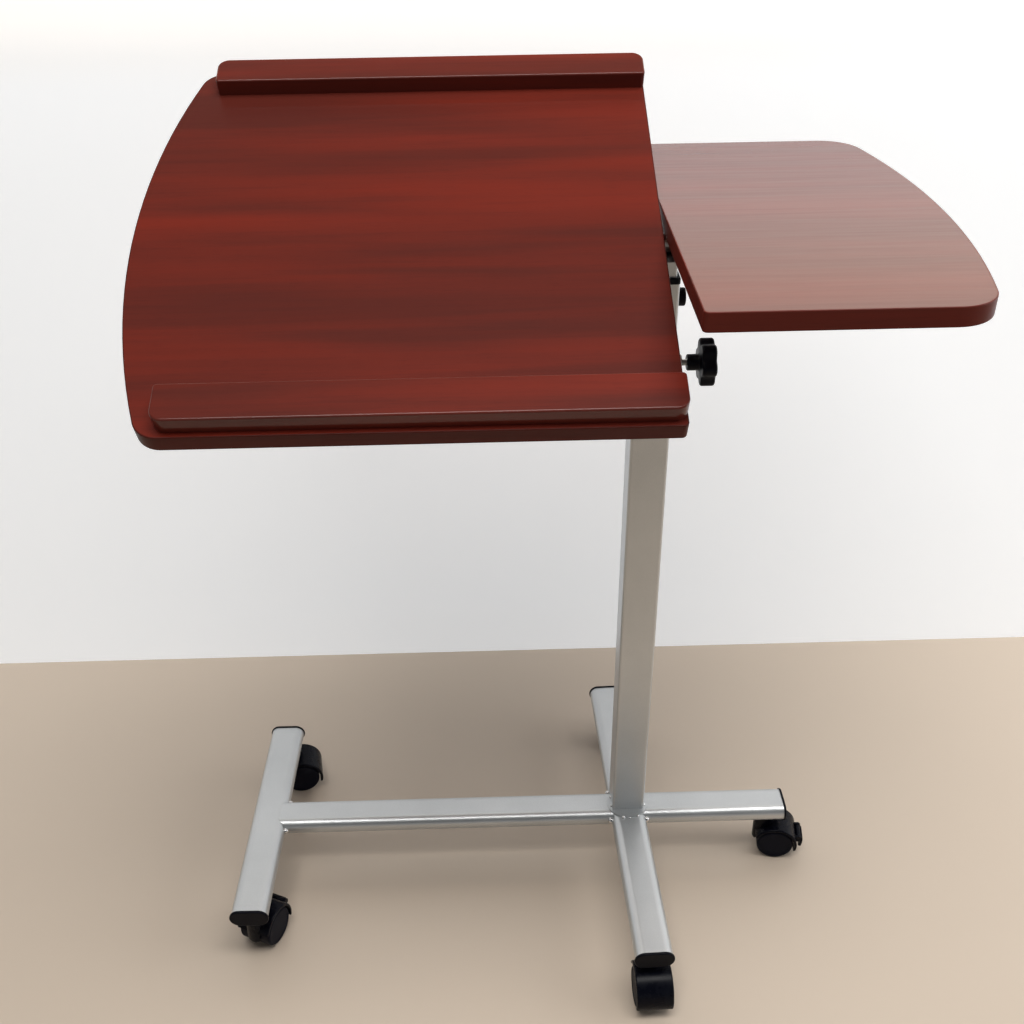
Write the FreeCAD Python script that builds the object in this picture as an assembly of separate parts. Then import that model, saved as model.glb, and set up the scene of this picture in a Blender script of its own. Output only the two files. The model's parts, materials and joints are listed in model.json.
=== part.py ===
"""Rolling overbed table: a tilting main top and a level side top on one telescopic column.

Units are millimetres and +Z is up. The shapes are drawn in column coordinates: X = 0 on the
column's axis, Y = 0 on the long rail's axis, Z = 0 on the floor. write_parts() moves them so
that the origin lies on the floor, under the middle of the whole table.
"""
import FreeCAD, Part
import math
import os

Vector = FreeCAD.Vector
X_AXIS = Vector(1, 0, 0)
Y_AXIS = Vector(0, 1, 0)
Z_AXIS = Vector(0, 0, 1)

# Where the table's origin lies in column coordinates
ORIGIN = Vector(-97.0, -2.0, 0.0)

# Flat-oval tubes of the base
TUBE_WIDTH = 38.0
TUBE_HEIGHT = 19.0
TUBE_WALL = 1.5
TUBE_TOP = 75.0
TUBE_BOTTOM = TUBE_TOP - TUBE_HEIGHT
TUBE_AXIS_Z = TUBE_TOP - TUBE_HEIGHT / 2
TUBE_FLAT = (TUBE_WIDTH - TUBE_HEIGHT) / 2
LEFT_FOOT_X = -398.0
LEFT_FOOT_FRONT = -132.0
LEFT_FOOT_REAR = 134.0
LEFT_FOOT_TURN = 0.8
FRONT_FOOT_END = -195.0
REAR_FOOT_END = 191.0
RAIL_END = 173.0
CROSS_FEET_TURN = 1.9
BASE_DISC_RADIUS = 22.5
BASE_DISC_THICKNESS = 1.2
WELD_GAP = 0.35
SMALLEST_BEAD = 2.0
BEAD_REACH = 3.0
STEM_NUT_RADIUS = 7.5
STEM_NUT_HEIGHT = 8.0
STEM_DROP = 12.0
CAP_FLANGE = 2.5
CAP_LIP = 1.0
CAP_PLUG_DEPTH = 8.0
CAP_PLUG_WALL = 2.0
CAP_FIT = 0.1

# Telescopic column
COLUMN_Y = 7.0
OUTER_SIDE = 35.0
OUTER_CORNER = 3.0
OUTER_WALL = 1.5
OUTER_TOP = 690.0
COLLAR_SIDE = 35.6
COLLAR_TOP = OUTER_TOP + 5.0
COLLAR_SLEEVE_BOTTOM = 650.0
COLLAR_ROUNDING = 1.0
INNER_SIDE = 30.0
INNER_CORNER = 2.5
INNER_WALL = 1.5
INNER_BOTTOM = 232.0
INNER_TOP = 705.0
SLIDE_GAP = 0.2
GLIDE_HEIGHT = 24.0
GLIDE_PLUG = 14.0
KNOB_HOLE_RADIUS = 4.0
HEIGHT_NUT_RADIUS = 7.0
COLLAR_SCREW_RADIUS = 2.5
COLLAR_SCREW_HEAD_RADIUS = 7.75
COLLAR_SCREW_HEAD_LENGTH = 7.5
COLLAR_SCREW_ROUNDING = 1.5

# Tops
TOP_DEPTH = 400.0
TOP_THICKNESS = 15.0
TOP_SURFACE = 744.0
TOP_UNDERSIDE = TOP_SURFACE - TOP_THICKNESS
BAND = 1.0
BAND_ROUNDING = 0.8
MAIN_TOP_RIGHT = 0.8
MAIN_TOP_WIDTH = 422.8
MAIN_BULGE_RADIUS = 590.0
MAIN_BULGE_Y = -12.0
MAIN_CORNER = 20.0
SIDE_TOP_LEFT = 2.8
SIDE_TOP_WIDTH = 225.2
SIDE_BULGE_RADIUS = 800.0
SIDE_CORNER = 35.0
STRAIGHT_CORNER = 4.0
LEDGE_HEIGHT = 15.0
REAR_LEDGE_DEPTH = 29.0
FRONT_LEDGE_DEPTH = 33.0
FRONT_LEDGE_SETBACK = 4.5
REAR_LEDGE_LEFT = -372.0
FRONT_LEDGE_LEFT = -380.0
LEDGE_SCREW_PLACES = (-340.0, -186.0, -32.0)
LEDGE_SCREW_LENGTH = 25.0
LEDGE_OUTER_CORNER = 10.0
LEDGE_INNER_CORNER = 3.0
LEDGE_ROUNDING = 1.5

# Tilt pivot, under the main top and across the head of the column
PIVOT_Y = 16.0
PIVOT_Z = TOP_SURFACE - 28.0
PIVOT_RADIUS = 8.0
PIVOT_BORE = 6.0
PIVOT_LEFT = -330.0
PIVOT_GAP = 0.1
REST_TILT = 24.5
FULL_TILT = 40.0
PLATE = 3.0
HEAD_HALF = 15.0
STUD_OFFSET_Y = 48.0
STUD_OFFSET_Z = -16.0
STUD_RADIUS = 3.0
SLOT_HALF = 3.3
STRAP_WIDTH = 25.0
STRAP_THICKNESS = 2.5
STRAP_CENTRES = (-95.0, -290.0)
STRAP_FLANGE_END = 28.0
STRAP_SCREW = 20.0
SCREW_RADIUS = 2.0
SCREW_BITE = 11.0
SCREW_HEAD_RADIUS = 3.8
SCREW_HEAD_HEIGHT = 2.4
SCREW_HEAD_ROUNDING = 1.2
FLANGE_SCREW_X = -40.0
FLANGE_SCREW_OFFSETS = (-15.0, 15.0, 50.0)
QUADRANT_RIGHT = -15.2
QUADRANT_RADIUS = 60.0
QUADRANT_FLANGE_LEFT = -60.0
QUADRANT_FRONT = 22.0
SLOT_REACH = 90.0
TUBE_PLUG_FLANGE = 2.0
TUBE_PLUG_DEPTH = 10.0
TILT_BOLT_DOME = 7.0
TILT_BOLT_END = -36.0

# Side top's arm and plates
ARM_SIDE = 20.0
ARM_WALL = 1.5
ARM_END = 150.0
SUPPORT_CENTRES = (42.0, 128.0)
SUPPORT_WIDTH = 25.0
SUPPORT_LENGTH = 120.0
SUPPORT_CORNER = 5.0
SUPPORT_SCREW_INSET = 10.0

# Star knobs
KNOB_RADIUS = 21.0
KNOB_THICKNESS = 13.0
KNOB_HUB_RADIUS = 7.25
KNOB_HUB_LENGTH = 11.0
KNOB_LOBES = 6
KNOB_BORE_DEPTH = 16.0
KNOB_SCALLOP_RADIUS = 7.0
KNOB_SCALLOP_OUTSET = 3.0
KNOB_ROUNDING = 1.5
HEIGHT_KNOB_Z = 611.0
HEIGHT_KNOB_START = 30.4
HEIGHT_NUT_LENGTH = 8.0
COLLAR_SCREW_Z = 672.0
HEIGHT_STUD_START = INNER_SIDE / 2 + 1.25
HEIGHT_PAD_START = INNER_SIDE / 2 + 0.15
HEIGHT_PAD_RADIUS = 3.5
HEIGHT_PAD_THICKNESS = 1.0
WASHER_RADIUS = 9.0
WASHER_THICKNESS = 2.0
WASHER_GAP = 0.2

# Casters
STEM_INSET = 17.0
WHEEL_RADIUS = 20.0
WHEEL_INNER = 3.0
WHEEL_OUTER = 18.0
TRAIL = 14.0
HOOD_RADIUS = 24.5
HOOD_BORE = 21.7
HOOD_HALF_WIDTH = 18.5
HOOD_BOTTOM = 14.0
HOOD_FRONT = 30.0
HOOD_ROUNDING = 1.6
WEB_HALF = 2.5
AXLE_RADIUS = 3.0
AXLE_HALF = 16.0
DISH_RADIUS = 16.5
DISH_DEPTH = 0.5
STEM_RADIUS = 5.0
BOSS_RADIUS = 10.5
SWIVEL_GAP = 0.5
RUNNING_GAP = 0.05
LEVER_PIVOT_ANGLE = 12.0
LEVER_PIVOT_RADIUS = 27.0
LEVER_HALF_WIDTH = 8.0
LEVER_GAP = 0.3
LEVER_END_ANGLE = -16.0
LEVER_PIN_RADIUS = 1.5
LEVER_BARREL_RADIUS = 3.0
LEVER_TOE = 6.3
LEVER_TOE_LEAD = 25.0
LEVER_TOE_HALF_THICKNESS = 1.2
LEVER_WINDOW_GAP = 0.4
LEVER_PAD_INNER = HOOD_RADIUS + 4.0
LEVER_PAD_OUTER = LEVER_PAD_INNER + 3.0
LEVER_PIN_REACH = 2.0
LUG_RADIUS = 3.6
LUG_THICKNESS = 2.7
BOSS_ROUNDING = 2.0
TREAD_ROUNDING = 2.5


def left_foot_place(distance):
    """x, y on the left foot's axis, at a distance to the rear of the rail.

    The left foot is welded slightly off square to the rail.
    """
    turn = math.radians(LEFT_FOOT_TURN)
    return LEFT_FOOT_X + distance * math.sin(turn), distance * math.cos(turn)


def cross_feet_place(distance):
    """x, y on the axis of the front and rear feet, at a distance to the rear of the column's axis.

    The cross feet are welded a little off square to the rail.
    """
    turn = math.radians(CROSS_FEET_TURN)
    return -distance * math.sin(turn), distance * math.cos(turn)


# name: (stem x, stem y, direction in which the wheels trail, has a brake)
CASTERS = {
    "caster_right": (RAIL_END - STEM_INSET, 0.0, -8.0, True),
    "caster_front": (*cross_feet_place(FRONT_FOOT_END + STEM_INSET), -88.0, False),
    "caster_rear": (*cross_feet_place(REAR_FOOT_END - STEM_INSET), 0.0, False),
    "caster_left_front": (*left_foot_place(LEFT_FOOT_FRONT + STEM_INSET), 67.0, True),
    "caster_left_rear": (*left_foot_place(LEFT_FOOT_REAR - STEM_INSET), 10.0, False),
}


# ---------------------------------------------------------------- helpers

def block(x0, x1, y0, y1, z0, z1):
    """A box between two corners."""
    return Part.makeBox(x1 - x0, y1 - y0, z1 - z0, Vector(x0, y0, z0))


def rod(radius, start, end):
    """A cylinder between two points."""
    line = end - start
    return Part.makeCylinder(radius, line.Length, start, line)


def arc(start, middle, end):
    return Part.Arc(start, middle, end).toShape()


def line(start, end):
    return Part.makeLine(start, end)


def fused(shapes):
    """One solid from several that touch or overlap."""
    return shapes[0].multiFuse(shapes[1:]).removeSplitter()


def polygon_prism(points, direction):
    """A straight-sided prism: its points lie in one plane and are listed once around."""
    wire = Part.makePolygon(list(points) + [points[0]])
    return Part.Face(wire).extrude(direction)


def flat_oval(half_flat, radius):
    """Face of a flat-oval section in the YZ plane, centred on the origin."""
    top_left = Vector(0, -half_flat, radius)
    top_right = Vector(0, half_flat, radius)
    low_left = Vector(0, -half_flat, -radius)
    low_right = Vector(0, half_flat, -radius)
    edges = [
        line(top_left, top_right),
        arc(top_right, Vector(0, half_flat + radius, 0), low_right),
        line(low_right, low_left),
        arc(low_left, Vector(0, -half_flat - radius, 0), top_left),
    ]
    return Part.Face(Part.Wire(edges))


def oval_bar(start, end, inset=0.0):
    """Solid flat-oval bar between two points on one level, inset from the tube's outside."""
    run = end - start
    section = flat_oval(TUBE_FLAT, TUBE_HEIGHT / 2 - inset)
    bar = section.extrude(Vector(run.Length, 0, 0))
    bar.rotate(Vector(), Z_AXIS, math.degrees(math.atan2(run.y, run.x)))
    bar.translate(start)
    return bar


def uprights(shape):
    """The edges that run along Z."""
    return [edge for edge in shape.Edges if abs(edge.tangentAt(edge.FirstParameter).z) > 0.9]


def square_bar(side, corner, x, y, z0, z1):
    """Upright square bar with rounded corners, centred on x, y."""
    bar = block(x - side / 2, x + side / 2, y - side / 2, y + side / 2, z0, z1)
    return bar.makeFillet(corner, uprights(bar))


def tube_point(x, y):
    return Vector(x, y, TUBE_AXIS_Z)


# ---------------------------------------------------------------- base

def tube_ends():
    """Centre of each open tube end, and the outward direction there."""
    rearward = Vector(*cross_feet_place(1.0), 0)
    left_rearward = Vector(*left_foot_place(1.0), 0) - Vector(LEFT_FOOT_X, 0, 0)
    return [
        (tube_point(*left_foot_place(LEFT_FOOT_FRONT)), left_rearward * -1),
        (tube_point(*left_foot_place(LEFT_FOOT_REAR)), left_rearward),
        (tube_point(*cross_feet_place(FRONT_FOOT_END)), rearward * -1),
        (tube_point(*cross_feet_place(REAR_FOOT_END)), rearward),
        (tube_point(RAIL_END, 0), Vector(1, 0, 0)),
    ]


def left_foot_bar(inset=0.0):
    front = tube_point(*left_foot_place(LEFT_FOOT_FRONT))
    rear = tube_point(*left_foot_place(LEFT_FOOT_REAR))
    return oval_bar(front, rear, inset)


def rail_bar(inset=0.0):
    return oval_bar(tube_point(LEFT_FOOT_X, 0), tube_point(RAIL_END, 0), inset)


def front_foot_bar(inset=0.0):
    return oval_bar(tube_point(*cross_feet_place(FRONT_FOOT_END)), tube_point(0, 0), inset)


def rear_foot_bar(inset=0.0):
    return oval_bar(tube_point(0, 0), tube_point(*cross_feet_place(REAR_FOOT_END)), inset)


def stem_holes():
    """Cutters for the stems in the tubes' lower walls."""
    return [rod(STEM_RADIUS, Vector(x, y, TUBE_BOTTOM - 1), Vector(x, y, TUBE_BOTTOM + TUBE_WALL + 1))
            for x, y, _, _ in CASTERS.values()]


def left_foot_tube():
    """Transverse tube with a caster at each end."""
    return left_foot_bar().cut(left_foot_bar(TUBE_WALL)).cut(stem_holes())


def rail_tube():
    """Long tube: saddle-cut against the left foot, under the column, and on to the right caster."""
    tube = rail_bar().cut(rail_bar(TUBE_WALL))
    return tube.cut([left_foot_bar(-WELD_GAP)] + stem_holes())


def cross_foot_tube(bar, bore):
    """Front or rear foot: saddle-cut against the rail."""
    return bar.cut(bore).cut([rail_bar(-WELD_GAP)] + stem_holes())


def foot_end_caps():
    """Five push-in plastic caps: an oval flange a little larger than the tube, and a hollow plug."""
    caps = []
    for end, outward in tube_ends():
        flange = oval_bar(end, end + outward * CAP_FLANGE, -CAP_LIP)
        rim = [edge for edge in flange.Edges
               if (edge.CenterOfMass - end).dot(outward) > CAP_FLANGE - 0.01]
        flange = flange.makeFillet(CAP_FLANGE / 2, rim)
        inner_end = end - outward * CAP_PLUG_DEPTH
        plug = oval_bar(inner_end, end, TUBE_WALL + CAP_FIT)
        hollow = oval_bar(inner_end, end, TUBE_WALL + CAP_FIT + CAP_PLUG_WALL)
        caps.append(fused([flange, plug.cut(hollow)]))
    return Part.Compound(caps)


def stem_nuts():
    """Five round nuts welded inside the tubes, over the stem holes."""
    nuts = []
    for x, y, _, _ in CASTERS.values():
        low = Vector(x, y, TUBE_BOTTOM + TUBE_WALL)
        high = low + Z_AXIS * STEM_NUT_HEIGHT
        nuts.append(rod(STEM_NUT_RADIUS, low, high).cut(rod(STEM_RADIUS, low, high)))
    return Part.Compound(nuts)


def caster_stems():
    """Five threaded stems that the casters swivel on."""
    low = TUBE_BOTTOM - STEM_DROP
    high = TUBE_BOTTOM + TUBE_WALL + STEM_NUT_HEIGHT
    return Part.Compound([rod(STEM_RADIUS, Vector(x, y, low), Vector(x, y, high))
                          for x, y, _, _ in CASTERS.values()])


def base_bars():
    """All base tubes as solid bars, used as cutters."""
    return [left_foot_bar(), rail_bar(), front_foot_bar(), rear_foot_bar()]


def column_hole(radius, z):
    """Cutter for a hole in the column's right wall."""
    return rod(radius, Vector(0, COLUMN_Y, z), Vector(OUTER_SIDE / 2 + 1, COLUMN_Y, z))


def base_disc():
    """Round plate on the crossing of the base tubes, under the column."""
    low = Vector(0, 0, TUBE_TOP)
    return rod(BASE_DISC_RADIUS, low, low + Z_AXIS * BASE_DISC_THICKNESS)


def outer_column():
    """Square tube, saddle-cut on the crossing of the base tubes, with the round plate at its foot."""
    low = TUBE_AXIS_Z
    outer = square_bar(OUTER_SIDE, OUTER_CORNER, 0, COLUMN_Y, low, OUTER_TOP)
    bore_side = OUTER_SIDE - 2 * OUTER_WALL
    bore = square_bar(bore_side, OUTER_CORNER - OUTER_WALL, 0, COLUMN_Y, low - 1, OUTER_TOP + 1)
    holes = [column_hole(KNOB_HOLE_RADIUS, HEIGHT_KNOB_Z), column_hole(COLLAR_SCREW_RADIUS, COLLAR_SCREW_Z)]
    return fused([outer.cut(bore).cut(base_bars() + holes), base_disc()])


def column_collar():
    """Plastic guide bush: a flange on the outer tube's end and a thin sleeve inside it."""
    flange = square_bar(COLLAR_SIDE, OUTER_CORNER, 0, COLUMN_Y, OUTER_TOP, COLLAR_TOP)
    top_edges = [edge for edge in flange.Edges if edge.CenterOfMass.z > COLLAR_TOP - 0.01]
    flange = flange.makeFillet(COLLAR_ROUNDING, top_edges)
    sleeve_side = OUTER_SIDE - 2 * OUTER_WALL - 2 * CAP_FIT
    sleeve = square_bar(sleeve_side, OUTER_CORNER - OUTER_WALL, 0, COLUMN_Y, COLLAR_SLEEVE_BOTTOM, OUTER_TOP)
    bore = square_bar(INNER_SIDE + 2 * SLIDE_GAP, INNER_CORNER, 0, COLUMN_Y,
                      COLLAR_SLEEVE_BOTTOM - 1, COLLAR_TOP + 1)
    return fused([flange, sleeve]).cut([bore, column_hole(COLLAR_SCREW_RADIUS, COLLAR_SCREW_Z)])


def collar_screw():
    """Screw with a thick black head that holds the guide bush."""
    face = Vector(OUTER_SIDE / 2, COLUMN_Y, COLLAR_SCREW_Z)
    end = face + X_AXIS * COLLAR_SCREW_HEAD_LENGTH
    head = rod(COLLAR_SCREW_HEAD_RADIUS, face, end)
    rim = [edge for edge in head.Edges if edge.CenterOfMass.x > end.x - 0.1]
    head = head.makeFillet(COLLAR_SCREW_ROUNDING, rim)
    tip = Vector(INNER_SIDE / 2 + 0.3, COLUMN_Y, COLLAR_SCREW_Z)
    return fused([head, rod(COLLAR_SCREW_RADIUS, tip, face)])


def height_nut():
    """Round nut welded on the column's right face for the height knob's screw."""
    face = OUTER_SIDE / 2
    start = Vector(face, COLUMN_Y, HEIGHT_KNOB_Z)
    end = start + X_AXIS * HEIGHT_NUT_LENGTH
    return rod(HEIGHT_NUT_RADIUS, start, end).cut(rod(STUD_RADIUS + RUNNING_GAP, start, end))


def weld_beads():
    """Separate weld spots: at the column's corners, round the plate, beside the feet and at the left joint.

    Each spot is x, y, z and the radius of a small ball that shows outside the tubes.
    """
    corner = OUTER_SIDE / 2
    on_plate = TUBE_TOP + BASE_DISC_THICKNESS
    spots = [
        (-corner, -6.0, on_plate, 2.0),
        (corner, -5.0, on_plate, 2.4),
        (-corner, 7.0, on_plate, 1.8),
        (corner, 7.0, on_plate, 1.8),
        (-6.3, -21.9, TUBE_TOP + 0.4, 2.0),
        (9.4, -20.8, TUBE_TOP + 0.4, 1.5),
        (0.8, -22.8, TUBE_TOP + 0.3, 1.1),
    ]
    low = TUBE_AXIS_Z + BEAD_REACH
    for side in (-1, 1):
        spots += [(-19.4, side * 19.9, low, 3.4), (19.5, side * 19.6, low, 3.6)]
        spots.append((LEFT_FOOT_X + 19.8, side * 19.8, TUBE_AXIS_Z + 1, 3.3))
    solids = base_bars() + [base_disc()]
    solids.append(square_bar(OUTER_SIDE, OUTER_CORNER, 0, COLUMN_Y, TUBE_AXIS_Z, TUBE_TOP + 20))
    beads = []
    for x, y, z, radius in spots:
        bead = Part.makeSphere(radius, Vector(x, y, z))
        for solid in solids:
            bead = bead.cut(solid)
        beads += [piece for piece in bead.Solids if piece.Volume > SMALLEST_BEAD]
    return Part.Compound(beads)


# ---------------------------------------------------------------- mast

def inner_column():
    """Square tube that slides in the outer column."""
    outer = square_bar(INNER_SIDE, INNER_CORNER, 0, COLUMN_Y, INNER_BOTTOM, INNER_TOP)
    bore_side = INNER_SIDE - 2 * INNER_WALL
    bore = square_bar(bore_side, INNER_CORNER - INNER_WALL, 0, COLUMN_Y, INNER_BOTTOM - 1, INNER_TOP + 1)
    return outer.cut(bore)


def inner_glide():
    """Plastic foot of the inner tube: fills the outer tube's bore and plugs into the inner tube."""
    foot_side = OUTER_SIDE - 2 * OUTER_WALL - 2 * SLIDE_GAP
    foot = square_bar(foot_side, OUTER_CORNER - OUTER_WALL, 0, COLUMN_Y,
                      INNER_BOTTOM - GLIDE_HEIGHT, INNER_BOTTOM)
    plug_side = INNER_SIDE - 2 * INNER_WALL - 2 * CAP_FIT
    plug = square_bar(plug_side, INNER_CORNER - INNER_WALL, 0, COLUMN_Y,
                      INNER_BOTTOM - 1, INNER_BOTTOM + GLIDE_PLUG)
    return fused([foot, plug])


def pivot_line(x_from, x_to, radius):
    """A cylinder on the tilt pivot's axis."""
    return rod(radius, Vector(x_from, PIVOT_Y, PIVOT_Z), Vector(x_to, PIVOT_Y, PIVOT_Z))


def stud_centre(x):
    return Vector(x, PIVOT_Y + STUD_OFFSET_Y, PIVOT_Z + STUD_OFFSET_Z)


def head_bracket():
    """Bent U-plate on the inner tube: its left cheek reaches back to the tilt lock's bolt.

    The cheeks' outlines are drawn from the inner tube's faces, the pivot and the bolt's centre.
    """
    front = COLUMN_Y - INNER_SIDE / 2
    rear = COLUMN_Y + INNER_SIDE / 2
    top = TOP_UNDERSIDE - PLATE
    base = block(-HEAD_HALF, HEAD_HALF, front, rear, INNER_TOP, INNER_TOP + PLATE)
    stud = stud_centre(-HEAD_HALF)
    left_outline = [
        (front, INNER_TOP), (rear + 6, INNER_TOP), (stud.y - 14, stud.z - 11), (stud.y + 11, stud.z - 11),
        (stud.y + 11, stud.z + 9), (PIVOT_Y + 14, top), (PIVOT_Y - 2, top), (front, INNER_TOP + 6),
    ]
    right_outline = [(front, INNER_TOP), (PIVOT_Y + 12, INNER_TOP), (PIVOT_Y + 12, top), (front, top)]
    left = polygon_prism([Vector(-HEAD_HALF, y, z) for y, z in left_outline], X_AXIS * PLATE)
    right = polygon_prism([Vector(HEAD_HALF - PLATE, y, z) for y, z in right_outline], X_AXIS * PLATE)
    bolt_hole = rod(STUD_RADIUS, stud, stud + X_AXIS * PLATE)
    return fused([base, left, right]).cut([pivot_line(-20, 20, PIVOT_RADIUS), bolt_hole])


def pivot_tube():
    """Round tube through the head's cheeks: the main top turns on its left run."""
    return pivot_line(PIVOT_LEFT, HEAD_HALF, PIVOT_RADIUS).cut(pivot_line(PIVOT_LEFT, HEAD_HALF, PIVOT_BORE))


def pivot_tube_cap():
    """Plastic plug in the pivot tube's open end."""
    flange = pivot_line(PIVOT_LEFT - TUBE_PLUG_FLANGE, PIVOT_LEFT, PIVOT_RADIUS)
    return fused([flange, pivot_line(PIVOT_LEFT, PIVOT_LEFT + TUBE_PLUG_DEPTH, PIVOT_BORE - CAP_FIT)])


def tilt_bolt():
    """Domed bolt fixed in the left cheek: it passes the quadrant's slot and carries the tilt knob."""
    inner_face = -HEAD_HALF + PLATE
    head = Part.makeSphere(TILT_BOLT_DOME, stud_centre(inner_face - TILT_BOLT_DOME / 2))
    wide = 2 * TILT_BOLT_DOME
    head = head.cut(rod(wide, stud_centre(inner_face - wide), stud_centre(inner_face)))
    shank = rod(STUD_RADIUS, stud_centre(TILT_BOLT_END), stud_centre(inner_face))
    return fused([head, shank])


def arm_box(x_from, x_to, inset):
    half = ARM_SIDE / 2 - inset
    return block(x_from, x_to, PIVOT_Y - half, PIVOT_Y + half, PIVOT_Z - half, PIVOT_Z + half)


def side_arm():
    """Square tube welded on the right cheek, under the side top."""
    return arm_box(HEAD_HALF, ARM_END, 0).cut(arm_box(HEAD_HALF, ARM_END, ARM_WALL))


def side_arm_cap():
    """Plastic plug in the arm's open end."""
    flange = arm_box(ARM_END, ARM_END + TUBE_PLUG_FLANGE, 0)
    return fused([flange, arm_box(ARM_END - TUBE_PLUG_DEPTH, ARM_END, ARM_WALL + CAP_FIT)])


def side_screw_places():
    offset = SUPPORT_LENGTH / 2 - SUPPORT_SCREW_INSET
    return [Vector(x, PIVOT_Y + side * offset, TOP_UNDERSIDE) for x in SUPPORT_CENTRES for side in (-1, 1)]


def wood_screw(surface, plate):
    """Pan-head screw upwards through a plate of this thickness; surface is the wood's underside."""
    seat = surface - Z_AXIS * plate
    head = rod(SCREW_HEAD_RADIUS, seat - Z_AXIS * SCREW_HEAD_HEIGHT, seat)
    rim = [edge for edge in head.Edges if edge.CenterOfMass.z < seat.z - SCREW_HEAD_HEIGHT + 0.1]
    shank = rod(SCREW_RADIUS, seat, surface + Z_AXIS * SCREW_BITE)
    return fused([head.makeFillet(SCREW_HEAD_ROUNDING, rim), shank])


def side_top_screws():
    return Part.Compound([wood_screw(place, PLATE) for place in side_screw_places()])


def side_support_plates():
    """Two flat plates welded across the arm, screwed to the side top."""
    half = SUPPORT_WIDTH / 2
    reach = SUPPORT_LENGTH / 2
    plates = []
    for x in SUPPORT_CENTRES:
        plate = block(x - half, x + half, PIVOT_Y - reach, PIVOT_Y + reach,
                      TOP_UNDERSIDE - PLATE, TOP_UNDERSIDE)
        plates.append(plate.makeFillet(SUPPORT_CORNER, uprights(plate)).cut(side_top_screws()))
    return Part.Compound(plates)


# ---------------------------------------------------------------- tops

def top_outline(width, bulge_radius, bulge_y, corner, inset):
    """Face of a top: straight edge at x = 0, bulged edge towards +X with its crown at bulge_y."""
    half = TOP_DEPTH / 2 - inset
    apex = width - inset
    left = inset
    big = bulge_radius - inset
    round_corner = corner - inset
    small = STRAIGHT_CORNER - inset
    bulge_centre = Vector(apex - big, bulge_y, 0)
    edges = []
    for side in (-1, 1):
        corner_y = side * (half - round_corner)
        corner_x = bulge_centre.x + math.sqrt((big - round_corner) ** 2 - (corner_y - bulge_y) ** 2)
        centre = Vector(corner_x, corner_y, 0)
        outward = (centre - bulge_centre).normalize()
        joins_bulge = centre + outward * round_corner
        joins_side = Vector(corner_x, side * half, 0)
        between = (outward + Vector(0, side, 0)).normalize()
        small_centre = Vector(left + small, side * (half - small), 0)
        on_side = Vector(left + small, side * half, 0)
        on_straight = Vector(left, side * (half - small), 0)
        diagonal = Vector(-1, side, 0).normalize()
        edges.append(arc(joins_bulge, centre + between * round_corner, joins_side))
        edges.append(line(joins_side, on_side))
        edges.append(arc(on_side, small_centre + diagonal * small, on_straight))
        if side == -1:
            first_bulge_end = joins_bulge
            first_straight_end = on_straight
    edges.append(arc(first_bulge_end, Vector(apex, bulge_y, 0), joins_bulge))
    edges.append(line(first_straight_end, on_straight))
    return Part.Face(Part.Wire(Part.__sortEdges__(edges)))


def top_slab(width, bulge_radius, bulge_y, corner, inset, rounding):
    """Slab of the outline, from the underside to the surface."""
    slab = top_outline(width, bulge_radius, bulge_y, corner, inset).extrude(Z_AXIS * TOP_THICKNESS)
    if rounding:
        rims = [edge for edge in slab.Edges
                if abs(edge.CenterOfMass.z) < 0.01 or abs(edge.CenterOfMass.z - TOP_THICKNESS) < 0.01]
        slab = slab.makeFillet(rounding, rims)
    slab.translate(Vector(0, COLUMN_Y, TOP_UNDERSIDE))
    return slab


def side_slab(inset, rounding=0.0):
    slab = top_slab(SIDE_TOP_WIDTH, SIDE_BULGE_RADIUS, 0.0, SIDE_CORNER, inset, rounding)
    slab.translate(X_AXIS * SIDE_TOP_LEFT)
    return slab


def main_slab(inset, rounding=0.0):
    slab = top_slab(MAIN_TOP_WIDTH, MAIN_BULGE_RADIUS, MAIN_BULGE_Y, MAIN_CORNER, inset, rounding)
    slab = slab.mirror(Vector(), X_AXIS)
    slab.translate(X_AXIS * MAIN_TOP_RIGHT)
    return slab


def side_top():
    """Level board beside the main top."""
    return side_slab(BAND).cut(side_top_screws())


def side_top_edge_band():
    return side_slab(0.0, BAND_ROUNDING).cut(side_slab(BAND))


def ledge(x_left, y_front, y_rear, outer_is_front):
    """Strip of board on the main top: large corners towards the outside, small ones inside."""
    strip = block(x_left, MAIN_TOP_RIGHT, y_front, y_rear, TOP_SURFACE, TOP_SURFACE + LEDGE_HEIGHT)
    middle = (y_front + y_rear) / 2
    outer = [edge for edge in uprights(strip) if (edge.CenterOfMass.y < middle) == outer_is_front]
    strip = strip.makeFillet(LEDGE_OUTER_CORNER, outer)
    inner_y = y_rear if outer_is_front else y_front
    inner = [edge for edge in uprights(strip) if abs(edge.CenterOfMass.y - inner_y) < 0.01]
    strip = strip.makeFillet(LEDGE_INNER_CORNER, inner)
    rim = [edge for edge in strip.Edges if abs(edge.CenterOfMass.z - TOP_SURFACE - LEDGE_HEIGHT) < 0.01]
    return strip.makeFillet(LEDGE_ROUNDING, rim)


def rear_ledge_range():
    rear = COLUMN_Y + TOP_DEPTH / 2
    return rear - REAR_LEDGE_DEPTH, rear


def front_ledge_range():
    front = COLUMN_Y - TOP_DEPTH / 2 + FRONT_LEDGE_SETBACK
    return front, front + FRONT_LEDGE_DEPTH


def ledge_screws():
    """Six countersunk screws, up through the main top into the ledges."""
    screws = []
    for y_front, y_rear in (rear_ledge_range(), front_ledge_range()):
        for x in LEDGE_SCREW_PLACES:
            low = Vector(x, (y_front + y_rear) / 2, TOP_UNDERSIDE)
            shank = rod(SCREW_RADIUS, low, low + Z_AXIS * LEDGE_SCREW_LENGTH)
            head = Part.makeCone(SCREW_HEAD_RADIUS, SCREW_RADIUS, SCREW_HEAD_HEIGHT, low, Z_AXIS)
            screws.append(fused([head, shank]))
    return Part.Compound(screws)


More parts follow.
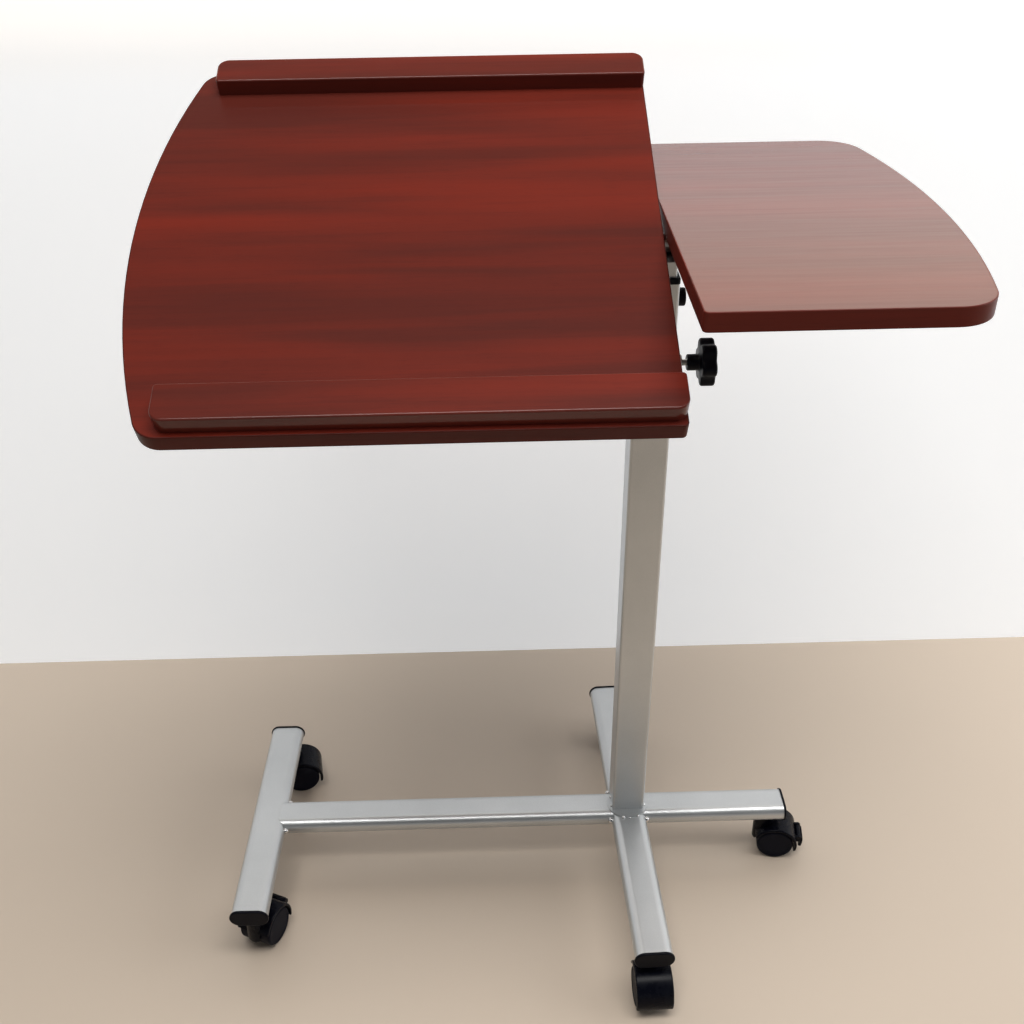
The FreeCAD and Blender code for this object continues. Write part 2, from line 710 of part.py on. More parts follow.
def rear_ledge():
    y_front, y_rear = rear_ledge_range()
    return ledge(REAR_LEDGE_LEFT, y_front, y_rear, False).cut(ledge_screws())


def front_ledge():
    y_front, y_rear = front_ledge_range()
    return ledge(FRONT_LEDGE_LEFT, y_front, y_rear, True).cut(ledge_screws())


def main_screw_places():
    """Screws of the two straps and of the quadrant's flange, with the plate's thickness."""
    straps = [(Vector(x, PIVOT_Y + side * STRAP_SCREW, TOP_UNDERSIDE), STRAP_THICKNESS)
              for x in STRAP_CENTRES for side in (-1, 1)]
    flange = [(Vector(FLANGE_SCREW_X, PIVOT_Y + offset, TOP_UNDERSIDE), PLATE)
              for offset in FLANGE_SCREW_OFFSETS]
    return straps + flange


def main_top_screws():
    return Part.Compound([wood_screw(place, plate) for place, plate in main_screw_places()])


def main_top():
    """Tilting board, drawn level."""
    return main_slab(BAND).cut([main_top_screws(), ledge_screws()])


def main_top_edge_band():
    return main_slab(0.0, BAND_ROUNDING).cut(main_slab(BAND))


def hinge_straps():
    """Two steel straps that hold the pivot tube against the main top."""
    straps = []
    inner = PIVOT_RADIUS + PIVOT_GAP
    outer = inner + STRAP_THICKNESS
    flange_low = TOP_UNDERSIDE - STRAP_THICKNESS
    for x in STRAP_CENTRES:
        left = x - STRAP_WIDTH / 2
        right = x + STRAP_WIDTH / 2
        shell = pivot_line(left, right, outer)
        shell = fused([shell, block(left, right, PIVOT_Y - outer, PIVOT_Y + outer, PIVOT_Z, TOP_UNDERSIDE)])
        flange = block(left, right, PIVOT_Y - STRAP_FLANGE_END, PIVOT_Y + STRAP_FLANGE_END,
                       flange_low, TOP_UNDERSIDE)
        space = fused([pivot_line(left, right, inner),
                       block(left, right, PIVOT_Y - inner, PIVOT_Y + inner, PIVOT_Z, TOP_UNDERSIDE)])
        straps.append(fused([shell, flange]).cut(space).cut(main_top_screws()))
    return Part.Compound(straps)


def hinge_saddles():
    """Two plastic saddles between the pivot tube and the main top."""
    half = PIVOT_RADIUS
    saddles = []
    for x in STRAP_CENTRES:
        left = x - STRAP_WIDTH / 2
        right = x + STRAP_WIDTH / 2
        pad = block(left, right, PIVOT_Y - half, PIVOT_Y + half, PIVOT_Z + 3, TOP_UNDERSIDE)
        saddles.append(pad.cut(pivot_line(left, right, PIVOT_RADIUS + PIVOT_GAP)))
    return Part.Compound(saddles)


def slot_cutter(x_from, x_to):
    """Arc slot about the pivot for the tilt lock's bolt, over the whole tilt range."""
    radius = math.hypot(STUD_OFFSET_Y, STUD_OFFSET_Z)
    level_angle = math.degrees(math.atan2(STUD_OFFSET_Z, STUD_OFFSET_Y))
    ring = pivot_line(x_from, x_to, radius + SLOT_HALF).cut(pivot_line(x_from, x_to, radius - SLOT_HALF))
    angles = (level_angle, level_angle - FULL_TILT)
    corners = [Vector(x_from, PIVOT_Y, PIVOT_Z)]
    for step in range(5):
        angle = math.radians(angles[0] + (angles[1] - angles[0]) * step / 4)
        corners.append(Vector(0, math.cos(angle), math.sin(angle)) * SLOT_REACH + corners[0])
    slot = ring.common(polygon_prism(corners, X_AXIS * (x_to - x_from)))
    ends = []
    for angle in angles:
        turn = math.radians(angle)
        y = PIVOT_Y + radius * math.cos(turn)
        z = PIVOT_Z + radius * math.sin(turn)
        ends.append(rod(SLOT_HALF, Vector(x_from, y, z), Vector(x_to, y, z)))
    return fused([slot] + ends)


def tilt_quadrant():
    """Angle plate under the main top: its upright leaf has the arc slot of the tilt lock."""
    right = QUADRANT_RIGHT
    left = right - PLATE
    top = TOP_UNDERSIDE - PIVOT_Z
    low_angle = math.radians(-66.0)
    mid_angle = math.radians(-33.0)
    radius = QUADRANT_RADIUS

    def leaf_point(v, w):
        return Vector(left, PIVOT_Y + v, PIVOT_Z + w)

    rear_top = leaf_point(radius, top)
    rear_mid = leaf_point(radius, 0)
    arc_mid = leaf_point(radius * math.cos(mid_angle), radius * math.sin(mid_angle))
    arc_low = leaf_point(radius * math.cos(low_angle), radius * math.sin(low_angle))
    throat = leaf_point(14, -15)
    front_low = leaf_point(-12, -12)
    front_top = leaf_point(-QUADRANT_FRONT, top)
    edges = [line(rear_top, rear_mid), arc(rear_mid, arc_mid, arc_low), line(arc_low, throat),
             line(throat, front_low), line(front_low, front_top), line(front_top, rear_top)]
    leaf = Part.Face(Part.Wire(edges)).extrude(X_AXIS * PLATE)
    flange = block(QUADRANT_FLANGE_LEFT, right, PIVOT_Y - QUADRANT_FRONT, PIVOT_Y + radius,
                   TOP_UNDERSIDE - PLATE, TOP_UNDERSIDE)
    bore = pivot_line(left - 1, right + 1, PIVOT_RADIUS + PIVOT_GAP)
    return fused([leaf, flange]).cut([bore, slot_cutter(left - 1, right + 1), main_top_screws()])


# ---------------------------------------------------------------- knobs

def star_knob():
    """Lobed knob on the X axis: its hub starts at x = 0 and the lobed head is beyond the hub."""
    head_start = KNOB_HUB_LENGTH
    head_end = head_start + KNOB_THICKNESS
    head = rod(KNOB_RADIUS, X_AXIS * head_start, X_AXIS * head_end)
    scallops = []
    for index in range(KNOB_LOBES):
        angle = 2 * math.pi * (index + 0.5) / KNOB_LOBES
        centre = Vector(0, math.cos(angle), math.sin(angle)) * (KNOB_RADIUS + KNOB_SCALLOP_OUTSET)
        near = centre + X_AXIS * (head_start - 1)
        far = centre + X_AXIS * (head_end + 1)
        scallops.append(rod(KNOB_SCALLOP_RADIUS, near, far))
    head = head.cut(scallops)
    rims = [edge for edge in head.Edges
            if abs(edge.CenterOfMass.x - head_start) < 0.01 or abs(edge.CenterOfMass.x - head_end) < 0.01]
    head = head.makeFillet(KNOB_ROUNDING, rims)
    hub = rod(KNOB_HUB_RADIUS, Vector(), X_AXIS * head_start)
    bore = rod(STUD_RADIUS + RUNNING_GAP, Vector(), X_AXIS * KNOB_BORE_DEPTH)
    return fused([head, hub]).cut(bore)


def height_knob():
    """Star knob on the column's right side, tight on its own screw."""
    knob = star_knob()
    knob.translate(Vector(HEIGHT_KNOB_START, COLUMN_Y, HEIGHT_KNOB_Z))
    return knob


def height_stud():
    """Threaded rod of the height knob."""
    tip = Vector(HEIGHT_STUD_START, COLUMN_Y, HEIGHT_KNOB_Z)
    end = Vector(HEIGHT_KNOB_START + KNOB_BORE_DEPTH - 0.1, COLUMN_Y, HEIGHT_KNOB_Z)
    return rod(STUD_RADIUS, tip, end)


def height_pad():
    """Small pad that the screw presses on the inner tube."""
    near = Vector(HEIGHT_PAD_START, COLUMN_Y, HEIGHT_KNOB_Z)
    return rod(HEIGHT_PAD_RADIUS, near, near + X_AXIS * HEIGHT_PAD_THICKNESS)


def tilt_knob():
    """Star knob on the tilt bolt, turned to face left."""
    knob = star_knob()
    knob.rotate(Vector(), Z_AXIS, 180)
    knob.translate(stud_centre(QUADRANT_RIGHT - PLATE - WASHER_THICKNESS - 2 * WASHER_GAP))
    return knob


def tilt_washer():
    """Washer between the quadrant and the tilt knob."""
    near = stud_centre(QUADRANT_RIGHT - PLATE - WASHER_THICKNESS - WASHER_GAP)
    far = near + X_AXIS * WASHER_THICKNESS
    return rod(WASHER_RADIUS, near, far).cut(rod(STUD_RADIUS + WASHER_GAP, near, far))


# ---------------------------------------------------------------- casters

def wheel_centre(y=0.0):
    return Vector(TRAIL, y, WHEEL_RADIUS)


def wheel_rod(radius, y_from, y_to):
    """A cylinder on the wheel's axle line, in the caster's own frame."""
    return rod(radius, wheel_centre(y_from), wheel_centre(y_to))


def around_wheel(radius, angle_degrees, y=0.0):
    """Point at an angle above the wheel's rear horizontal, in the caster's own frame."""
    angle = math.radians(angle_degrees)
    return wheel_centre(y) + Vector(radius * math.cos(angle), 0, radius * math.sin(angle))


def caster_housing(with_brake):
    """Hood over both wheels, web between them and boss round the stem. The wheels trail to +X."""
    wide = HOOD_HALF_WIDTH
    rear = TRAIL + HOOD_RADIUS + 10
    band = wheel_rod(HOOD_RADIUS, -wide, wide)
    rims = [edge for edge in band.Edges if abs(abs(edge.CenterOfMass.y) - wide) < 0.01]
    band = band.makeFillet(HOOD_ROUNDING, rims)
    band = band.cut(block(-HOOD_RADIUS, TRAIL, -wide, wide, -10, HOOD_FRONT))
    boss = rod(BOSS_RADIUS, Vector(0, 0, HOOD_BOTTOM + 2), Vector(0, 0, TUBE_BOTTOM - SWIVEL_GAP))
    foot_edge = [edge for edge in boss.Edges if edge.CenterOfMass.z < HOOD_BOTTOM + 2.1]
    boss = boss.makeFillet(BOSS_ROUNDING, foot_edge)
    web = wheel_rod(HOOD_RADIUS - 1, -WEB_HALF, WEB_HALF)
    pieces = [band, boss, web]
    if with_brake:
        pieces += lever_lugs()
    wells = [wheel_rod(HOOD_BORE, side * WEB_HALF, side * (wide + 1)) for side in (-1, 1)]
    below = block(-HOOD_RADIUS, rear, -wide - 1, wide + 1, -10, HOOD_BOTTOM)
    bore_floor = TUBE_BOTTOM - STEM_DROP - 0.2
    stem_bore = rod(STEM_RADIUS + RUNNING_GAP, Vector(0, 0, bore_floor), Vector(0, 0, TUBE_BOTTOM))
    axle_bore = wheel_rod(AXLE_RADIUS, -WEB_HALF - 1, WEB_HALF + 1)
    housing = fused(pieces).cut(wells + [below, stem_bore, axle_bore])
    if with_brake:
        housing = housing.cut(brake_lever_space())
    return housing


def lever_pivot(y=0.0):
    return around_wheel(LEVER_PIVOT_RADIUS, LEVER_PIVOT_ANGLE, y)


def lever_lugs():
    """Two ears at the back of the hood that hold the lever's pin."""
    ears = []
    for side in (-1, 1):
        inner = side * (LEVER_HALF_WIDTH + LEVER_GAP)
        outer = side * (LEVER_HALF_WIDTH + LEVER_GAP + LUG_THICKNESS)
        along = (lever_pivot() - wheel_centre()).normalize()
        across = Vector(-along.z, 0, along.x) * LUG_RADIUS
        near = around_wheel(HOOD_RADIUS - 2, LEVER_PIVOT_ANGLE, inner)
        far = lever_pivot(inner)
        root = polygon_prism([near + across, far + across, far - across, near - across],
                             Y_AXIS * (outer - inner))
        ears.append(fused([rod(LUG_RADIUS, far, lever_pivot(outer)), root]))
    return ears


def brake_lever_space():
    """Pin hole in the ears and a window in the hood for the lever's toe."""
    half = LEVER_HALF_WIDTH + LEVER_GAP
    reach = half + LEVER_PIN_REACH
    pin = rod(LEVER_PIN_RADIUS + RUNNING_GAP, lever_pivot(-reach), lever_pivot(reach))
    window = rod(LEVER_TOE + LEVER_WINDOW_GAP, lever_pivot(-half), lever_pivot(half))
    return fused([pin, window])


def brake_lever():
    """Foot lever at the back of a caster: pin, curved pad outside the hood, toe at the treads."""
    half = LEVER_HALF_WIDTH
    barrel = rod(LEVER_BARREL_RADIUS, lever_pivot(-half), lever_pivot(half))
    reach = half + LEVER_PIN_REACH
    pin = rod(LEVER_PIN_RADIUS, lever_pivot(-reach), lever_pivot(reach))
    angles = (LEVER_PIVOT_ANGLE, (LEVER_PIVOT_ANGLE + LEVER_END_ANGLE) / 2, LEVER_END_ANGLE)
    inner = [around_wheel(LEVER_PAD_INNER, angle, -half) for angle in angles]
    outer = [around_wheel(LEVER_PAD_OUTER, angle, -half) for angle in angles]
    edges = [arc(*inner), line(inner[2], outer[2]), arc(*reversed(outer)), line(outer[0], inner[0])]
    pad = Part.Face(Part.Wire(edges)).extrude(Y_AXIS * (2 * half))
    toe = block(-LEVER_TOE, 0, -half, half, -LEVER_TOE_HALF_THICKNESS, LEVER_TOE_HALF_THICKNESS)
    toe.rotate(Vector(), Y_AXIS, -LEVER_PIVOT_ANGLE - LEVER_TOE_LEAD)
    toe.translate(lever_pivot())
    return fused([barrel, pin, pad, toe])


def caster_wheel(side):
    """One of the twin wheels: rounded tread and a dished outer face. side is -1 or 1."""
    near = side * WHEEL_INNER
    far = side * WHEEL_OUTER
    wheel = wheel_rod(WHEEL_RADIUS, near, far)
    rims = [edge for edge in wheel.Edges if edge.Curve.TypeId == "Part::GeomCircle"]
    wheel = wheel.makeFillet(TREAD_ROUNDING, rims)
    dish = wheel_rod(DISH_RADIUS, far - side * DISH_DEPTH, far + side)
    bore = wheel_rod(AXLE_RADIUS + RUNNING_GAP, near - side, side * (AXLE_HALF + 0.1))
    return wheel.cut([dish, bore])


def caster_axle():
    """Steel pin through the web, the wheels run on its ends."""
    return wheel_rod(AXLE_RADIUS, -AXLE_HALF, AXLE_HALF)


def placed_caster(shape, name):
    """Move a shape from the caster's own frame to its foot."""
    x, y, direction, _ = CASTERS[name]
    placed = shape.copy()
    placed.rotate(Vector(), Z_AXIS, direction)
    placed.translate(Vector(x, y, 0))
    return placed


# ---------------------------------------------------------------- assembly

def tilted(shape):
    """Turn a shape of the main top from level to the tilt it stands at."""
    turned = shape.copy()
    turned.rotate(Vector(0, PIVOT_Y, PIVOT_Z), X_AXIS, REST_TILT)
    return turned


def all_parts():
    """Every node's name with its shape, in column coordinates."""
    parts = {
        "left_foot_tube": left_foot_tube(),
        "rail_tube": rail_tube(),
        "front_foot_tube": cross_foot_tube(front_foot_bar(), front_foot_bar(TUBE_WALL)),
        "rear_foot_tube": cross_foot_tube(rear_foot_bar(), rear_foot_bar(TUBE_WALL)),
        "foot_end_caps": foot_end_caps(),
        "stem_nuts": stem_nuts(),
        "caster_stems": caster_stems(),
        "outer_column": outer_column(),
        "column_collar": column_collar(),
        "collar_screw": collar_screw(),
        "height_nut": height_nut(),
        "weld_beads": weld_beads(),
        "inner_column": inner_column(),
        "inner_glide": inner_glide(),
        "head_bracket": head_bracket(),
        "pivot_tube": pivot_tube(),
        "pivot_tube_cap": pivot_tube_cap(),
        "tilt_bolt": tilt_bolt(),
        "side_arm": side_arm(),
        "side_arm_cap": side_arm_cap(),
        "side_support_plates": side_support_plates(),
        "side_top": side_top(),
        "side_top_edge_band": side_top_edge_band(),
        "side_top_screws": side_top_screws(),
        "height_knob": height_knob(),
        "height_stud": height_stud(),
        "height_pad": height_pad(),
        "tilt_knob": tilt_knob(),
        "tilt_washer": tilt_washer(),
    }
    tilting = {
        "main_top": main_top(),
        "main_top_edge_band": main_top_edge_band(),
        "rear_ledge": rear_ledge(),
        "front_ledge": front_ledge(),
        "ledge_screws": ledge_screws(),
        "hinge_straps": hinge_straps(),
        "hinge_saddles": hinge_saddles(),
        "tilt_quadrant": tilt_quadrant(),
        "main_top_screws": main_top_screws(),
    }
    for name, shape in tilting.items():
        parts[name] = tilted(shape)
    axle = caster_axle()
    left_wheel = caster_wheel(1)
    right_wheel = caster_wheel(-1)
    for name, (_, _, _, with_brake) in CASTERS.items():
        parts[name + "_housing"] = placed_caster(caster_housing(with_brake), name)
        parts[name + "_axle"] = placed_caster(axle, name)
        parts[name + "_left_wheel"] = placed_caster(left_wheel, name)
        parts[name + "_right_wheel"] = placed_caster(right_wheel, name)
        if with_brake:
            parts[name + "_brake_lever"] = placed_caster(brake_lever(), name)
    return parts


def write_parts():
    """Move every part to the table's origin and write it."""
    os.makedirs("parts", exist_ok=True)
    for name, shape in all_parts().items():
        shape.translate(ORIGIN * -1)
        shape.exportStep("parts/" + name + ".step")
        print(name, "solids", len(shape.Solids), "valid", shape.isValid(), "volume", round(shape.Volume))


write_parts()
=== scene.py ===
"""Looks of the overbed table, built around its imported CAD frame. Units are metres, +Z is up."""

import json
import math

import bmesh
import bpy
from mathutils import Matrix, Vector


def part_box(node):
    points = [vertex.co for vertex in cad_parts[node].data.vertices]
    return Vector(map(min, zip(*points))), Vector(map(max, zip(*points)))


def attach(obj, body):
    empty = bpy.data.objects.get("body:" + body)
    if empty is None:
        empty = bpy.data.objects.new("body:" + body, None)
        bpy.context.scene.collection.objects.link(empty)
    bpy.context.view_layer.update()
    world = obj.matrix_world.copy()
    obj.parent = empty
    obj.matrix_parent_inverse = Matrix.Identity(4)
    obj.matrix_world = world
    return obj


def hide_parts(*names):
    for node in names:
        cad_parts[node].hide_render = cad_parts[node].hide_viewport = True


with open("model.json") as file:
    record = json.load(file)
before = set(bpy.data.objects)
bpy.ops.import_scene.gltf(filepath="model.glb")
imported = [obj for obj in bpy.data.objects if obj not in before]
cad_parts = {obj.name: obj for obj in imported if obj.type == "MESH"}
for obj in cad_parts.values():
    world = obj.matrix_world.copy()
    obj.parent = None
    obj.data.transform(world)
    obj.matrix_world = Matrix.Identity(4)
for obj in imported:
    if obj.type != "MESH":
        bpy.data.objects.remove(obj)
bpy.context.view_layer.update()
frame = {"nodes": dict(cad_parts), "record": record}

# Camera: place in the row's frame, angles in degrees, lens in millimetres on a 36 mm sensor
CAMERA_PLACE = Vector((-0.0416, -0.9029, 1.0535))
CAMERA_YAW = 0.97
CAMERA_PITCH = -33.04
CAMERA_ROLL = -0.87
CAMERA_LENS = 40.78
SENSOR_WIDTH = 36.0

# Floor and wall
FLOOR_REACH = 8.0
FLOOR_COLOUR = (0.56, 0.47, 0.38, 1)
FLOOR_ROUGHNESS = 0.45
WALL_Y = 0.36
WALL_REACH = 4.0
WALL_HEIGHT = 1.12
WALL_ROUGHNESS = 0.9

# The wall's glow and its tint each change from a lower to an upper height
WALL_COLOUR = (0.80, 0.82, 0.84, 1)
WALL_TOP_COLOUR = (0.84, 0.66, 0.48, 1)
TINT_HEIGHTS = (0.77, 0.95)
WALL_GLOW = 0.46
WALL_TOP_GLOW = 0.85
GLOW_HEIGHTS = (0.80, 0.92)

# World light: strength at and below the first height on the sky, and at and above the second
SKY_COLOUR = (0.92, 0.94, 0.97, 1)
HORIZON_LIGHT = 0.40
ZENITH_LIGHT = 0.08
SKY_HEIGHTS = (0.05, 0.45)

# Area lights: place, size, power in watts, colour; both aim at the same point
LIGHT_TARGET = (0.0, 0.0, 0.4)
OVERHEAD_PLACE = (0.15, -0.5, 2.7)
OVERHEAD_SIZE = (2.1, 1.0)
OVERHEAD_POWER = 60
OVERHEAD_COLOUR = (1.0, 0.98, 0.95)
WINDOW_PLACE = (1.9, -0.2, 1.1)
WINDOW_SIZE = (1.2, 1.2)
WINDOW_POWER = 13
WINDOW_COLOUR = (0.97, 0.98, 1.0)


# ---------------------------------------------------------------- node helpers

class Graph:
    """A material's node tree with short ways to add and link nodes."""

    def __init__(self, name):
        self.material = bpy.data.materials.new(name)
        self.material.use_nodes = True
        self.tree = self.material.node_tree
        self.tree.nodes.clear()
        self.output = self.add("ShaderNodeOutputMaterial")
        self.shader = self.add("ShaderNodeBsdfPrincipled")
        self.link(self.shader.outputs["BSDF"], self.output.inputs["Surface"])
        self.place = self.add("ShaderNodeTexCoord").outputs["Object"]

    def add(self, kind, **settings):
        node = self.tree.nodes.new(kind)
        for key, value in settings.items():
            setattr(node, key, value)
        return node

    def link(self, source, target):
        self.tree.links.new(source, target)

    def mapping(self, scale=(1, 1, 1), rotation=(0, 0, 0), source=None, offset=(0, 0, 0)):
        node = self.add("ShaderNodeMapping")
        node.inputs["Location"].default_value = offset
        node.inputs["Scale"].default_value = scale
        node.inputs["Rotation"].default_value = rotation
        self.link(source or self.place, node.inputs["Vector"])
        return node.outputs["Vector"]

    def noise(self, vector, scale, detail=3.0, roughness=0.5, distortion=0.0):
        node = self.add("ShaderNodeTexNoise")
        node.inputs["Scale"].default_value = scale
        node.inputs["Detail"].default_value = detail
        node.inputs["Roughness"].default_value = roughness
        node.inputs["Distortion"].default_value = distortion
        self.link(vector, node.inputs["Vector"])
        return node.outputs["Fac"]

    def span(self, value, low, high, to_low=0.0, to_high=1.0):
        """Map a range of a value to another range, clamped."""
        node = self.add("ShaderNodeMapRange")
        for name, number in (("From Min", low), ("From Max", high), ("To Min", to_low), ("To Max", to_high)):
            node.inputs[name].default_value = number
        self.link(value, node.inputs["Value"])
        return node.outputs["Result"]

    def mix(self, factor, first, second, blend="MIX"):
        """Mix two colours, each a socket or a colour."""
        node = self.add("ShaderNodeMix", data_type="RGBA", blend_type=blend)
        for socket, value in ((node.inputs[0], factor), (node.inputs[6], first), (node.inputs[7], second)):
            if isinstance(value, bpy.types.NodeSocket):
                self.link(value, socket)
            else:
                socket.default_value = value
        return node.outputs[2]

    def maths(self, operation, first, second):
        node = self.add("ShaderNodeMath", operation=operation)
        for socket, value in zip(node.inputs, (first, second)):
            if isinstance(value, bpy.types.NodeSocket):
                self.link(value, socket)
            else:
                socket.default_value = value
        return node.outputs[0]

    def bump(self, height, strength, distance):
        node = self.add("ShaderNodeBump")
        node.inputs["Strength"].default_value = strength
        node.inputs["Distance"].default_value = distance
        self.link(height, node.inputs["Height"])
        self.link(node.outputs["Normal"], self.shader.inputs["Normal"])

    def set(self, **values):
        for key, value in values.items():
            socket = self.shader.inputs[key.replace("_", " ")]
            if isinstance(value, bpy.types.NodeSocket):
                self.link(value, socket)
            else:
                socket.default_value = value


# ---------------------------------------------------------------- materials

REST_TILT = math.radians(24.5)

# Base colours of the stained wood, and how much of its pattern shows
WOOD_BROWN = (0.080, 0.0135, 0.0090)
WOOD_RED = (0.150, 0.0165, 0.0085)
WOOD_DARK = (0.045, 0.0075, 0.0060)
MAIN_FIGURE = 0.20
SIDE_FIGURE = 0.10

# Where the pattern starts, so that the boards differ
MAIN_SHIFT = (0.2, 0.05, 0.0)
LEDGE_SHIFT = (0.3, 0.21, 0.4)

# Roughness of the lacquer on the faces and on the edges
LACQUER = 0.12
EDGE_LACQUER = 0.35


def shaded(colour, share):
    """A colour made darker or lighter, as a shader takes it."""
    return tuple(channel * share for channel in colour) + (1,)


def cherry(name, tilt, brightness, gloss, coat_roughness, offset=(0, 0, 0), figure=MAIN_FIGURE):
    """Cherry-stained wood with its grain along X, under a lacquer.

    tilt lays the grain in the board's own plane, and figure is the strength of the pattern.
    """
    g = Graph(name)
    level = g.mapping(rotation=(-tilt, 0, 0), offset=offset)
    clouds = g.noise(g.mapping((1.6, 15, 15), source=level), 1.0, 2.0, 0.5, 0.4)
    bands = g.noise(g.mapping((2.2, 44, 44), source=level), 1.0, 3.0, 0.55, 0.5)
    streaks = g.noise(g.mapping((9, 240, 240), source=level), 1.0, 3.0, 0.6, 0.3)
    pores = g.noise(g.mapping((60, 1500, 1500), source=level), 1.0, 2.0, 0.6)
    brown = shaded(WOOD_BROWN, brightness)
    red = shaded(WOOD_RED, brightness)
    dark = shaded(WOOD_DARK, brightness)
    tone = g.maths("ADD", g.maths("MULTIPLY", clouds, 0.65), g.maths("MULTIPLY", bands, 0.35))
    spread = 2.5 * figure
    colour = g.mix(g.span(tone, 0.40, 0.62, 0.5 - spread, 0.5 + spread), brown, red)
    colour = g.mix(g.span(streaks, 0.50, 0.72, 0.0, figure), colour, dark)
    colour = g.mix(g.span(pores, 0.58, 0.74, 0.0, 0.35), colour, dark)
    g.set(Base_Color=colour, Roughness=g.span(streaks, 0.3, 0.7, 0.36, 0.48))
    g.set(Specular_IOR_Level=0.06, Coat_Weight=gloss, Coat_Roughness=coat_roughness, Coat_IOR=1.5)
    g.bump(pores, 0.05, 0.0002)
    return g.material


def silver_paint():
    """Silver-grey powder coat: fine orange peel and metallic flecks."""
    g = Graph("silver_paint")
    peel = g.noise(g.place, 900.0, 2.0, 0.5)
    fleck = g.noise(g.place, 3500.0, 1.0, 0.5)
    patch = g.noise(g.place, 9.0, 3.0, 0.6)
    base = g.mix(g.span(patch, 0.3, 0.7), (0.50, 0.52, 0.53, 1), (0.58, 0.60, 0.61, 1))
    base = g.mix(g.span(fleck, 0.5, 0.75, 0.0, 0.5), base, (0.78, 0.80, 0.81, 1))
    g.set(Base_Color=base, Metallic=0.85, Roughness=g.span(fleck, 0.3, 0.7, 0.31, 0.41))
    g.bump(peel, 0.06, 0.0002)
    return g.material


def steel(name, colour, roughness):
    """Plated or bare steel with fine drawn lines and dull patches."""
    g = Graph(name)
    lines = g.noise(g.mapping((40, 900, 900)), 1.0, 2.0, 0.5)
    patch = g.noise(g.place, 120.0, 3.0, 0.6)
    tint = shaded(colour[:3], 0.75)
    g.set(Base_Color=g.mix(g.span(patch, 0.35, 0.7), colour, tint), Metallic=1.0)
    g.set(Roughness=g.span(lines, 0.3, 0.7, roughness - 0.06, roughness + 0.08))
    g.bump(lines, 0.08, 0.0001)
    return g.material


def black_plastic(name, roughness, grey=0.004):
    """Moulded black plastic: faint mould texture, slightly scuffed."""
    g = Graph(name)
    texture = g.noise(g.place, 1400.0, 2.0, 0.5)
    scuff = g.noise(g.place, 60.0, 4.0, 0.65)
    clean = (grey * 0.6, grey * 0.7, grey * 1.5, 1)
    scuffed = (grey * 1.6, grey * 1.8, grey * 2.8, 1)
    base = g.mix(g.span(scuff, 0.5, 0.75), clean, scuffed)
    g.set(Base_Color=base, Roughness=g.span(scuff, 0.3, 0.75, roughness - 0.05, roughness + 0.12))
    g.set(Specular_IOR_Level=0.09)
    g.bump(texture, 0.04, 0.0002)
    return g.material


def nylon():
    """Natural nylon, slightly translucent."""
    g = Graph("white_nylon")
    cloud = g.noise(g.place, 80.0, 3.0, 0.5)
    g.set(Base_Color=g.mix(cloud, (0.74, 0.72, 0.66, 1), (0.82, 0.80, 0.75, 1)))
    g.set(Roughness=g.span(cloud, 0, 1, 0.4, 0.55))
    g.set(Subsurface_Weight=0.1, Subsurface_Scale=0.003)
    g.bump(cloud, 0.05, 0.0003)
    return g.material


def make_materials():
    """Every material by name: the record's slots and the special finishes."""
    return {
        "silver_paint": silver_paint(),
        "zinc_steel": steel("zinc_steel", (0.62, 0.62, 0.60, 1), 0.30),
        "weld_steel": steel("weld_steel", (0.80, 0.80, 0.79, 1), 0.22),
        "black_plastic": black_plastic("black_plastic", 0.34),
        "caster_plastic": black_plastic("caster_plastic", 0.24),
        "caster_tread": black_plastic("caster_tread", 0.5, 0.007),
        "white_nylon": nylon(),
        "cherry_laminate": cherry("cherry_laminate", 0.0, 1.1, 0.95, LACQUER, figure=SIDE_FIGURE),
        "cherry_laminate_tilted": cherry("cherry_laminate_tilted", REST_TILT, 1.04, 0.7, LACQUER, MAIN_SHIFT),
        "cherry_edge": cherry("cherry_edge", REST_TILT, 1.0, 0.25, EDGE_LACQUER),
        # A darker copy of the edge wood: painted shade on the main top's edge band
        "cherry_edge_painted_shade": cherry("cherry_edge_painted_shade", REST_TILT, 0.6, 0.15, EDGE_LACQUER),
        "cherry_ledge": cherry("cherry_ledge", REST_TILT, 1.15, 0.5, LACQUER, LEDGE_SHIFT),
    }


# Nodes that look a little different from the rest of their slot
SPECIAL_FINISH = {
    "main_top": "cherry_laminate_tilted",
    # The main top's edge band takes the darker edge wood, which paints shade on it
    "main_top_edge_band": "cherry_edge_painted_shade",
    "rear_ledge": "cherry_ledge",
    "front_ledge": "cherry_ledge",
}


def dress_nodes(materials):
    """Give every CAD node its material."""
    for entry in frame["record"]["subparts"]:
        node = entry["node"]
        finish = SPECIAL_FINISH.get(node, entry["material_slot"])
        for place in frame["nodes"][node].material_slots:
            place.link = "OBJECT"
            place.material = materials[finish]


# ---------------------------------------------------------------- detailed pieces

# Sizes in millimetres, turned into metres by MM
MM = 0.001
THREAD_PITCH = 1.0
THREAD_DEPTH = 0.45
RINGS_PER_TURN = 6
STUD_RADIUS = 3.0
KNOB_TIP_RADIUS = 20.9
KNOB_VALLEY_RADIUS = 16.9
KNOB_HUB_RADIUS = 7.2
KNOB_HUB_END = 11.0
KNOB_HEAD_END = 23.9
KNOB_LOBES = 6
KNOB_RIM = 2.2
KNOB_LOBE_SHARPNESS = 1.3
KNOB_SIDES = 144
ROUND_STEPS = 5

# The knob's dished face: depth below its end, radius, how much of the lobes shows
KNOB_DISH = (
    (0.5, 14.5, 0.5),
    (1.1, 11.0, 0.0),
    (1.1, 9.0, 0.0),
    (0.5, 8.0, 0.0),
    (0.3, 5.0, 0.0),
    (0.2, 1.0, 0.0),
)


